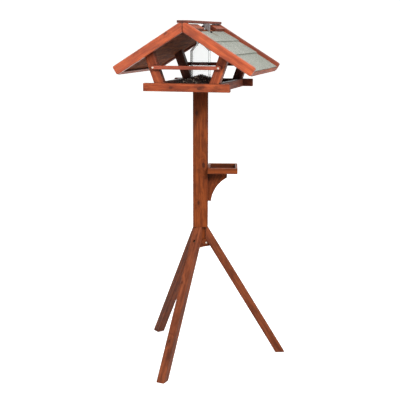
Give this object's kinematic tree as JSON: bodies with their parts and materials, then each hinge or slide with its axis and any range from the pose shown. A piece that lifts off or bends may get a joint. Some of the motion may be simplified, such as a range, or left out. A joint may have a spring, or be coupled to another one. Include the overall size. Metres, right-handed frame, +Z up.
{
  "type": "bird feeder on pole",
  "caption": "Gabled wooden bird feeder on a square pole with splayed tripod legs, a felted roof with a hinged ridge lid, a clear seed hopper, perches and a small side tray.",
  "frame": {"origin": "on the ground, under the pole's axis", "axes": "+Z up along the pole; the house's gables face -Y (front) and +Y (back), and its ridge runs along Y"},
  "size_m": [0.5203, 0.5156, 1.15],
  "materials": {
    "barge_stain": "satin orange-brown wood stain",
    "house_stain": "satin red-brown wood stain",
    "stand_stain": "satin dark red-brown wood stain",
    "board_stain": "dull dark brown board",
    "lid_stain": "weathered dark brown stain",
    "roofing_felt": "mineral-faced grey-green roofing felt",
    "clear_acrylic": "clear, polished",
    "seed_mix": "loose dark seed",
    "grey_steel": "dull grey zinc",
    "black_steel": "black, satin",
    "zinc_steel": "bright zinc plate"
  },
  "bodies": {
    "root": {"barge_back_left": "barge_stain", "barge_back_right": "barge_stain", "barge_front_left": "barge_stain", "barge_front_right": "barge_stain", "centre_bolt": "zinc_steel", "collar_screws": "zinc_steel", "cup_bracket": "stand_stain", "cup_floor": "stand_stain", "cup_screws": "zinc_steel", "cup_wall_back": "stand_stain", "cup_wall_front": "stand_stain", "cup_wall_inner": "stand_stain", "cup_wall_outer": "stand_stain", "eave_rail_left": "barge_stain", "eave_rail_right": "barge_stain", "felt_left_1": "roofing_felt", "felt_left_2": "roofing_felt", "felt_left_3": "roofing_felt", "felt_right_1": "roofing_felt", "felt_right_2": "roofing_felt", "felt_right_3": "roofing_felt", "hinge_pins": "zinc_steel", "leg_back": "stand_stain", "leg_collar": "stand_stain", "leg_core": "stand_stain", "leg_front": "stand_stain", "leg_right": "stand_stain", "leg_screws": "zinc_steel", "perch_back": "house_stain", "perch_front": "house_stain", "perch_screws": "zinc_steel", "pole": "stand_stain", "pole_screws": "zinc_steel", "post_back_left": "house_stain", "post_back_right": "house_stain", "post_front_left": "house_stain", "post_front_right": "house_stain", "roof_board_left": "board_stain", "roof_board_right": "board_stain", "roof_hinge_leaves": "zinc_steel", "roof_stud": "black_steel", "seed_fill": "seed_mix", "silo_pane_back": "clear_acrylic", "silo_pane_front": "clear_acrylic", "silo_side_left": "clear_acrylic", "silo_side_right": "clear_acrylic", "top_rail_back_left": "barge_stain", "top_rail_back_right": "barge_stain", "top_rail_front_left": "barge_stain", "top_rail_front_right": "barge_stain", "tray_floor": "house_stain", "tray_rim_back": "house_stain", "tray_rim_front": "house_stain", "tray_rim_left": "house_stain", "tray_rim_right": "house_stain"},
    "ridge_lid": {"ridge_lid": "lid_stain", "lid_clip": "grey_steel", "lid_hinge_leaves": "zinc_steel"}
  },
  "joints": [
    {"name": "lid_hinge", "type": "hinge", "parent": "root", "child": "ridge_lid", "pos_m": [-0.0203, 0, 1.1426], "axis": [0, -1, 0], "range_deg": [0, 105]}
  ]
}
